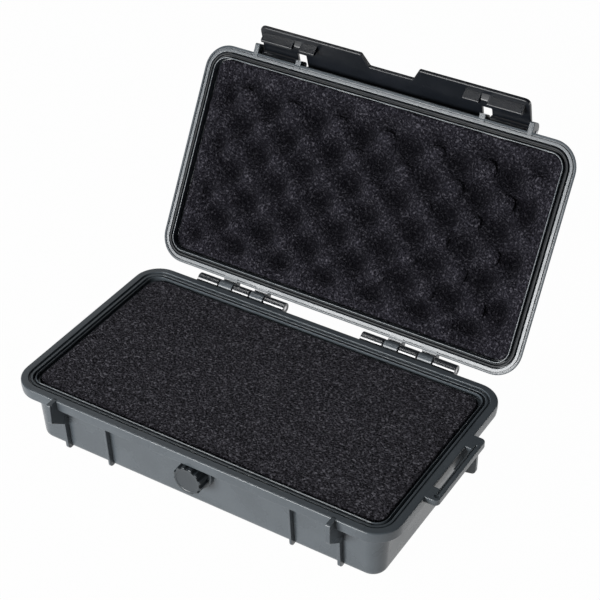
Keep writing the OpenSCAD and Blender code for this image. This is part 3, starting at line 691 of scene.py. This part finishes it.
SEAL_OUT, SEAL_IN, SEAL_BACK, SEAL_FACE, SEAL_STEP = 4.6, 6.9, 45.2, 41.8, 43.0
gasket_section = [
    (SEAL_OUT, SEAL_BACK, 0, 0), (SEAL_OUT, 42.2, 0, 0.2), (4.75, 41.85, 0, 0.2),
    (5.3, SEAL_FACE, 0, 0.2), (5.75, 41.85, 0, 0.2), (6.1, 42.9, 0, 0.2),
    (SEAL_IN, SEAL_STEP, 0, 0.2), (SEAL_IN, SEAL_BACK, 0, 0)]
gasket = swept_rim("rim_gasket", gasket_section, OPEN_LID, rubber, "lid", closed=True)
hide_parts("lid_gasket")

# %% [markdown]
# The lid's two knuckles of each hinge sit on arms that come down from the flange. At the
# front, outer ears and smaller inner ears carry the pins of the latch flap, and a stiff bar
# runs between the inner ones. All are plates again. They stop short of the groove in the rim,
# because a plate that ran through the flange would show in it.

# %% Lid: hinge arms
ARM_IN, ARM_OUT, ARM_LOW, ARM_LEAN = 3.2, 2.2, 0.3, 42
arm_outline = ([(BACK - ARM_IN, flange_top), (BACK - ARM_IN, LID_Z + ARM_LOW),
                (BACK + ARM_OUT, LID_Z + ARM_LOW)]
               + arc_points(HINGE_Y, HINGE_Z, KNUCKLE_R, 152, 360 + ARM_LEAN, 24)
               + [(BACK + 2.4, flange_top + 1.4)])
bm = bmesh.new()
for side, start in mirrored([END_KNUCKLE + GAP, END_KNUCKLE + LID_KNUCKLE + MID_KNUCKLE + 3 * GAP]):
    x0 = hinge_start + start
    add_plate(bm, [arm_outline, bore], *span(side, x0, x0 + LID_KNUCKLE), 0.3)
lid_arms = finish_mesh("lid_hinge_arms", bm, OPEN_LID, shell_plastic, "lid")
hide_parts("lid_shell")

# %% Lid: latch ears
EAR_X, EAR_T, EAR_OUT, EAR_H, EAR_NOSE, EAR_CHIN = 90.5, 3.4, 5.6, 9.3, 4.0, 0.8
TAB_X, TAB_T, TAB_R, LATCH_PIN_R = 60.0, 3.9, 2.5, 1.25
EAR_LOW, TAB_LOW = LID_Z + 0.1, LID_Z + 0.2
BAR_LOW, BAR_R = LID_Z + 0.5, 0.5
ear_end, ear_tip = WALL_Y + ROOT, FRONT - EAR_OUT
rim_in, rim_up = FRONT + 3.5, LID_Z + 4.4   # the ears stay clear of the groove in the rim
ear_outline = ([(rim_in, EAR_LOW), (rim_in, rim_up), (ear_end, rim_up), (ear_end, LID_Z + EAR_H)]
               + arc_points(ear_tip + EAR_NOSE, LID_Z + EAR_H - EAR_NOSE, EAR_NOSE, 90, 180, 10)
               + arc_points(ear_tip + EAR_CHIN, EAR_LOW + EAR_CHIN, EAR_CHIN, 180, 270, 4))
tab_outline = ([(rim_in, TAB_LOW), (rim_in, rim_up), (ear_end, rim_up), (ear_end, LATCH_Z + TAB_R)]
               + arc_points(LATCH_Y, LATCH_Z, TAB_R, 90, 180, 10)
               + [(LATCH_Y - TAB_R, TAB_LOW)])
bm = bmesh.new()
for side, x in mirrored([EAR_X]):
    add_plate(bm, [ear_outline], *span(side, x, x + EAR_T), 0.45)
for side, x in mirrored([TAB_X]):
    add_plate(bm, [tab_outline], *span(side, x, x + TAB_T), 0.3)
bar_outline = box_outline(FRONT, BAR_LOW, FRONT + SKIRT_T, LID_Z + SKIRT_H, BAR_R)
add_plate(bm, [bar_outline], -(TAB_X + TAB_T), TAB_X + TAB_T, 0.3)
latch_ears = finish_mesh("latch_ears", bm, OPEN_LID, shell_plastic, "lid")
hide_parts("lid_shell")

# %% [markdown]
# The base holds one block of open-cell foam, cut a little soft at its edges. It is a stack of
# rounded outlines that follows the leaning walls, made with the same function as the rims.
# Its top closes inwards in rings that rise and fall a little, as foam does where a blade has
# passed. A sculpted surface could do that too, but it would need many more points.

# %% Foam block of the base
FOAM_IN = OVERHANG + WALL + 0.5
FOAM_EXTRA_R = 2.6
FOAM_FOOT, FOAM_TOP = 2.8, BASE_H - 1.3
FOOT_IN, TOP_IN = 6, 3                      # width of the flat border under and on the block
RINGS, STRIP_HALF, RING_R = 13, 1.0, 0.6    # the rings end at a strip, and keep this radius
WAVE_TOP, UNEVEN_TOP, TOP_DROP = 18, 0.25, 0.1


def foam_inset(z):
    """Inset of the foam block's side at a height."""
    return FOAM_IN + BASE_DRAFT * (1 - z / TUB_H)


foot_inset, last_inset = foam_inset(FOAM_FOOT), foam_inset(FOAM_TOP) + TOP_IN
foam_side = [(foot_inset + FOOT_IN, FOAM_FOOT + 0.05, FOAM_EXTRA_R, 0),
             (foot_inset, FOAM_FOOT + 0.05, FOAM_EXTRA_R, 1.2),
             (foam_inset(FOAM_TOP), FOAM_TOP, FOAM_EXTRA_R, 1.3),
             (last_inset, FOAM_TOP, FOAM_EXTRA_R, 0)]


def foam_height(x, y, wave, depth):
    """A small, smooth unevenness of a cut face."""
    return depth * noise.noise(Vector((x / wave, y / wave, 3.7)))


bm = bmesh.new()
side_rings = [rim_ring(*spot, arc=16) for spot in round_corners(foam_side, 5)]
join_rings(bm, side_rings, cap_end=False)
# the top closes inwards in smaller and smaller rings, down to a narrow strip
top_rings = [side_rings[-1]]
for k in range(1, RINGS + 1):
    inset = last_inset + (CASE_W / 2 - last_inset - STRIP_HALF) * k / RINGS
    extra = max(FOAM_EXTRA_R, inset - CORNER_R + RING_R)
    top_rings.append([(x, y, z + foam_height(x, y, WAVE_TOP, UNEVEN_TOP) - TOP_DROP)
                      for x, y, z in rim_ring(inset, FOAM_TOP, extra, arc=16)])
join_rings(bm, top_rings, cap_start=False)
base_block = finish_mesh("base_foam_block", bm, STAY, block_foam, "base")
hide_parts("base_foam")

# %% [markdown]
# The lid is lined with egg-crate foam: its face rises and falls as the product of two waves,
# so crests and hollows sit like the squares of a chessboard. It is made as a fine grid of
# points pulled into the rounded outline, with its sides and a flat back. A displacement in
# the material would look the same from the front, but not at the edge, where the waves are
# cut through.

# %% Egg-crate foam of the lid
WAVE_L, WAVE_W, WAVE_H = 32.8, 30.8, 10.0
CREST_X, CREST_Y, CREST_DROP = 6.0, 20.6, 1.2
CRATE_R = 8.0
BORDER, BORDER_SHARE = 11.0, 0.10   # beside the rim, the hollows keep this share of their depth
BULGE, BULGE_DEEP = 2.4, 3.4        # the pad swells outwards at its mouth, over this depth
BULGE_END = 4.3                     # and is back at its own width here
ARRIS, ARRIS_DROP = 2.2, 1.3        # its edge is rounded over this width and depth
WAVE_CUT, UNEVEN_CUT = 9, 0.35      # length and height of the cut's unevenness
COLS, ROWS = 220, 124
PAD_L, PAD_W = CASE_L / 2 - FOAM_IN, CASE_W / 2 - FOAM_IN
crate_back = LID_TOP - FLOOR_T - 0.25
crate_mid = LID_Z + CREST_DROP + WAVE_H / 2


def crate_point(i, j, z=None):
    """Point of the crate's face, or of its flat back where z is given."""
    y = PAD_W * (2 * j / ROWS - 1)
    past = max(0.0, abs(y) - (PAD_W - CRATE_R))
    reach = PAD_L - CRATE_R + sqrt(max(0.0, CRATE_R ** 2 - past ** 2))
    x = reach * (2 * i / COLS - 1)
    if z is None:
        swell = cos(2 * pi * (x - CREST_X) / WAVE_L) * cos(2 * pi * (y - CREST_Y) / WAVE_W)
        edge = max(0.0, min(reach - abs(x), PAD_W - abs(y)))
        t = min(1.0, edge / BORDER)
        share = BORDER_SHARE + (1 - BORDER_SHARE) * t * t * (3 - 2 * t)
        z = LID_Z + CREST_DROP + WAVE_H * share * (1 - swell) / 2
        z += foam_height(x, y, WAVE_CUT, UNEVEN_CUT)
        z += ARRIS_DROP * max(0.0, 1 - edge / ARRIS) ** 2
    past_lip = (z - LID_Z - BULGE_DEEP) / (BULGE_END - BULGE_DEEP)
    lean = LID_DRAFT * (z - LID_Z) / (LID_H - 1) - BULGE * min(1.0, max(0.0, 1 - past_lip))
    return (x * (1 - lean / PAD_L), y * (1 - lean / PAD_W), z)


bm = bmesh.new()
hollow = bm.verts.layers.float.new("hollow")
face = [[bm.verts.new(crate_point(i, j)) for i in range(COLS + 1)] for j in range(ROWS + 1)]
for vert in (v for row in face for v in row):
    vert[hollow] = min(1.0, max(0.0, (vert.co.z - crate_mid) / WAVE_H + 0.5))
for j in range(ROWS):
    for i in range(COLS):
        bm.faces.new((face[j][i], face[j][i + 1], face[j + 1][i + 1], face[j + 1][i]))
border = ([(i, 0) for i in range(COLS)] + [(COLS, j) for j in range(ROWS)]
          + [(i, ROWS) for i in range(COLS, 0, -1)] + [(0, j) for j in range(ROWS, 0, -1)])
edges = [[face[j][i] for i, j in border]]
for z in (LID_Z + BULGE_DEEP, LID_Z + BULGE_END, crate_back):
    edges.append([bm.verts.new(crate_point(i, j, z)) for i, j in border])
for upper, lower in zip(edges, edges[1:]):
    for k in range(len(border)):
        n = (k + 1) % len(border)
        bm.faces.new((upper[k], lower[k], lower[n], upper[n]))
close_ring(bm, edges[-1])
crate_pad = finish_mesh("lid_foam_crate", bm, OPEN_LID, crate_foam, "lid", radians(60))
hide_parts("lid_foam")

# %% [markdown]
# The latch flap is the widest small part. Its plate has a finger notch, two windows for the
# inner ears and rounded edges. Barrels along its upper edge take the pins, and two hook lips
# inside its lower edge catch under the base's flange. It could be one outline swept along the
# case, but the notch and the windows run the other way. So the plate is an outline seen from
# the front, and the barrels and lips are outlines seen from the side. It is modelled shut.

# %% Latch flap
FLAP_HALF, FLAP_T, FLAP_FOOT, FLAP_R = 89.9, 2.6, 27.6, 4.0
FLAP_Y = FRONT - 1.5
FLAP_TOP = LATCH_Z + 2.2
NOTCH_ROOT, NOTCH_MOUTH, NOTCH_D = 14.6, 19.4, 8.4
WINDOW_IN, WINDOW_OUT, WINDOW_Z = TAB_X - 0.8, 65.4, LID_Z - 0.7
BARREL_R, BARREL_GAP = 3.0, 0.05
HOOK_FROM, HOOK_TO, HOOK_REACH, HOOK_TIP, HOOK_ROOT = 49.5, 87.1, 5.2, 1.75, 3.95
HOOK_Z, HOOK_LAP = BASE_H - SKIRT_H - 0.25, 1
EDGE_IN, EDGE_UP = 0.5, 0.69        # the lip's outer edge is cut off
RELIEF_FROM, RELIEF_TO, RELIEF_D, RELIEF_LAP = 60.1, 65.1, 2.5, 0.6    # it clears the inner rib

right_half = [
    (0, FLAP_FOOT + NOTCH_D, 0, 0), (NOTCH_ROOT, FLAP_FOOT + NOTCH_D, 0, 1.0),
    (NOTCH_MOUTH, FLAP_FOOT, 0, 1.2), (FLAP_HALF, FLAP_FOOT, 0, FLAP_R),
    (FLAP_HALF, FLAP_TOP, 0, 0.6), (WINDOW_OUT, FLAP_TOP, 0, 0.5), (WINDOW_OUT, WINDOW_Z, 0, 0.4),
    (WINDOW_IN, WINDOW_Z, 0, 0.4), (WINDOW_IN, FLAP_TOP, 0, 0.5), (0, FLAP_TOP, 0, 0)]
right_edge = [(x, z) for x, z, _ in round_corners(right_half, 5)]
flap_outline = right_edge + [(-x, z) for x, z in reversed(right_edge) if x > 0.01]
lip_tip, lip_root = FLAP_Y + HOOK_REACH, FLAP_Y - HOOK_LAP
slope = (HOOK_ROOT - HOOK_TIP) / HOOK_REACH
cut_z = HOOK_Z - HOOK_TIP - EDGE_IN * slope
lip_outline = [(lip_root, HOOK_Z), (lip_tip, HOOK_Z), (lip_tip, cut_z + EDGE_UP),
               (lip_tip - EDGE_IN, cut_z), (FLAP_Y, HOOK_Z - HOOK_ROOT),
               (lip_root, HOOK_Z - HOOK_ROOT)]
barrel_bore = arc_points(LATCH_Y, LATCH_Z, LATCH_PIN_R + BARREL_GAP, 0, 345, 23)
barrel_outline = arc_points(LATCH_Y, LATCH_Z, BARREL_R, 0, 352, 44)
# over the inner rib, the lip is cut back to this shorter outline
cut_outline = [(y - RELIEF_D if y > FLAP_Y else y, z) for y, z in lip_outline]

bm = bmesh.new()
add_plate(bm, [flap_outline], -FLAP_Y, -(FLAP_Y - FLAP_T), 0.7, ALONG_Y,
          Matrix.Scale(-1, 4, (0, 1, 0)))
for side, (x0, x1) in mirrored([(WINDOW_OUT, FLAP_HALF)]):
    add_plate(bm, [barrel_outline, barrel_bore], *span(side, x0, x1), 0.4)
for side, (x0, x1) in mirrored([(HOOK_FROM, RELIEF_FROM), (RELIEF_TO, HOOK_TO)]):
    add_plate(bm, [lip_outline], *span(side, x0, x1), 0.3)
for side, (x0, x1) in mirrored([(RELIEF_FROM - RELIEF_LAP, RELIEF_TO + RELIEF_LAP)]):
    add_plate(bm, [cut_outline], *span(side, x0, x1), 0.3)
flap = finish_mesh("latch_flap_moulding", bm, OPEN_FLAP, flap_plastic, "latch")
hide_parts("latch_flap")

# %% [markdown]
# The purge knob is turned by two fingers. Twelve scallops run down its side, and its face has
# a raised rim round a shallow dish. Twelve cylinders could be cut out of a disc, but a turned
# profile whose radius dips at each scallop keeps the rounded edge whole all the way round.
# Behind, it has the groove that holds the sealing ring, and the screw that goes into the bush.

# %% Purge knob
KNOB_R, KNOB_L, SCALLOPS = 9.3, 7.95, 12
SCALLOP_DEEP, SCALLOP_HALF = 1.25, radians(9.5)
KNOB_Y = BOSS_Y - 0.15
FACE_Y = KNOB_Y - KNOB_L
SCREW_R, SCREW_END = 4.0, WALL_Y + 0.7
GROOVE_IN, GROOVE_OUT, GROOVE_FLOOR = 6.25, 7.85, KNOB_Y - 1.45
GRIP_BAND, FACE_BAND = 0.7, 1.5   # within these of its edge the radius dips, wholly or along with it
DIP_SHARP = 0.7                   # below 1, the ridges between the scallops are sharper


def scalloped(radius, angle):
    """The knob's radius, less a round dip at each scallop."""
    if radius < KNOB_R - FACE_BAND:
        return radius
    step = 2 * pi / SCALLOPS
    off = abs((angle + step / 2) % step - step / 2)
    dip = KNOB_R - SCALLOP_DEEP * max(0.0, 1 - (off / SCALLOP_HALF) ** 2) ** DIP_SHARP
    return min(radius, dip) if radius < KNOB_R - GRIP_BAND else radius - (KNOB_R - dip)


screw_profile = [(SCREW_R, SCREW_END), (SCREW_R, KNOB_Y)]
groove_profile = [(GROOVE_IN, KNOB_Y), (GROOVE_IN, GROOVE_FLOOR),
                  (GROOVE_OUT, GROOVE_FLOOR), (GROOVE_OUT, KNOB_Y)]
side_profile = [(KNOB_R - 0.4, KNOB_Y), (KNOB_R, KNOB_Y - 0.4), (KNOB_R, KNOB_Y - 3.5),
                (KNOB_R, FACE_Y + 1.1)]
# the round edge, the raised rim and the dish: in from the knob's radius, back from its face
face_profile = [(KNOB_R - inwards, FACE_Y + back) for inwards, back in (
    (0.1, 0.6), (0.3, 0.25), (0.6, 0.1), (1.0, 0), (2.0, 0), (2.1, 0.05), (2.4, 0.3), (2.9, 0.35))]
dish_profile = [(3.0, FACE_Y + 0.35), (1.2, FACE_Y + 0.38)]
bm = bmesh.new()
add_lathe(bm, screw_profile + groove_profile + side_profile + face_profile + dish_profile,
          (0, 0, VALVE_Z), steps=288, wobble=scalloped)
knob = finish_mesh("purge_knob_turned", bm, STAY, knob_plastic, "purge_knob")
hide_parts("purge_knob")

# %% [markdown]
# The pins, the brass bush and the sealing ring already have their true round shapes in the
# frame, and little of them is seen. They could be turned again here, but nothing would be
# gained, so they stay as they are and only get a finish.

# %% Finishes of the pieces that stay
MOST_CORNERS = 12     # a face with fewer corners is part of a round side, and is shaded smooth
PINS = ("hinge_pin_left", "hinge_pin_right", "latch_pin_left", "latch_pin_right")
for names, finish in ((PINS, steel), (("purge_bush",), brass), (("purge_oring",), rubber)):
    for name in names:
        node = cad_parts[name]
        node.data.materials.clear()
        node.data.materials.append(finish)
        for polygon in node.data.polygons:
            polygon.use_smooth = len(polygon.vertices) < MOST_CORNERS
    print(finish.name, "on", names)

# %% [markdown]
# The case stands on a white sweep, as in a product picture. A floor lit up to white would
# throw too much light back at the case. So the floor is white for the camera and for
# reflections through Light Path, and grey for the light it throws back. A trace of the grey
# stays in the camera's white, and that trace shows the case's soft shadow. The world round
# it is white to the camera too, and gives the case only a faint, cool light.

# %% Floor and world
FLOOR_HALF, FLOOR_Z, FLOOR_GREY = 3.0, -0.0002, 0.5
CAMERA_WHITE = 0.985     # share of the floor that is plain white to the camera
ROOM_COLOUR, ROOM_LIGHT, PAPER_LIGHT = (0.85, 0.92, 1.0, 1), 0.03, 1.0


def white_to_camera(tree):
    """1 for the rays that show the background: camera, glossy and transmission rays."""
    path = add_node(tree, "ShaderNodeLightPath")
    seen = path.out("Is Camera Ray") + path.out("Is Glossy Ray") + path.out("Is Transmission Ray")
    return seen.math("MINIMUM", seen, 1.0)


floor_material = bpy.data.materials.new("white_floor")
floor_material.use_nodes = True
tree = floor_material.node_tree
tree.nodes.clear()
plain = add_node(tree, "ShaderNodeBsdfDiffuse", {}, {"Color": (FLOOR_GREY,) * 3 + (1,)})
glow = add_node(tree, "ShaderNodeEmission", {}, {"Color": (1, 1, 1, 1), "Strength": PAPER_LIGHT})
blend = add_node(tree, "ShaderNodeMixShader", {}, {
    0: white_to_camera(tree) * CAMERA_WHITE, 1: plain.out(0), 2: glow.out(0)})
add_node(tree, "ShaderNodeOutputMaterial", {}, {"Surface": blend.out(0)})
bm = bmesh.new()
bmesh.ops.create_grid(bm, x_segments=2, y_segments=2, size=FLOOR_HALF)
floor_mesh = bpy.data.meshes.new("floor")
bm.to_mesh(floor_mesh)
bm.free()
floor = bpy.data.objects.new("floor", floor_mesh)
floor_mesh.materials.append(floor_material)
floor.location.z = FLOOR_Z
bpy.context.scene.collection.objects.link(floor)

world = bpy.data.worlds.new("studio")
bpy.context.scene.world = world
world.use_nodes = True
tree = world.node_tree
tree.nodes.clear()
room = add_node(tree, "ShaderNodeBackground", {}, {"Color": ROOM_COLOUR, "Strength": ROOM_LIGHT})
paper = add_node(tree, "ShaderNodeBackground", {}, {"Color": (1, 1, 1, 1), "Strength": PAPER_LIGHT})
path = add_node(tree, "ShaderNodeLightPath")
blend = add_node(tree, "ShaderNodeMixShader", {}, {
    0: path.out("Is Camera Ray"), 1: room.out(0), 2: paper.out(0)})
add_node(tree, "ShaderNodeOutputWorld", {}, {"Surface": blend.out(0)})
print("floor at", FLOOR_Z, "m, room light", ROOM_LIGHT)

# %% [markdown]
# Soft boxes light the case: a large one at the front left, a low one at the right behind, and
# weak ones above and at the left behind. An image of a studio could light it from all sides,
# but single soft boxes can be placed so that each edge shines where it does on the real case.

# %% Lamps
def soft_lamp(name, at, aim, width, height, power):
    """A soft box that faces a point."""
    lamp = bpy.data.lights.new(name, "AREA")
    lamp.shape, lamp.size, lamp.size_y, lamp.energy = "RECTANGLE", width, height, power
    holder = bpy.data.objects.new(name, lamp)
    holder.location = at
    holder.rotation_euler = (Vector(at) - Vector(aim)).to_track_quat("Z", "Y").to_euler()
    bpy.context.scene.collection.objects.link(holder)
    print("lamp", name, power, "W")


soft_lamp("front_left", at=(-0.63, -2.0, 0.56), aim=(0, 0, 0.08), width=1.3, height=0.95, power=71)
soft_lamp("right_behind", at=(1.35, 0.9, 0.14), aim=(0.1, 0, 0.03), width=1.0, height=0.25, power=8)
soft_lamp("above", at=(-0.8, -0.15, 1.8), aim=(0, 0, 0), width=1.6, height=0.10, power=5)
soft_lamp("behind_left", at=(-1.2, 1.1, 1.3), aim=(-0.1, 0, 0.04), width=1.0, height=0.8, power=1.3)
bpy.context.scene.view_settings.view_transform = "Standard"
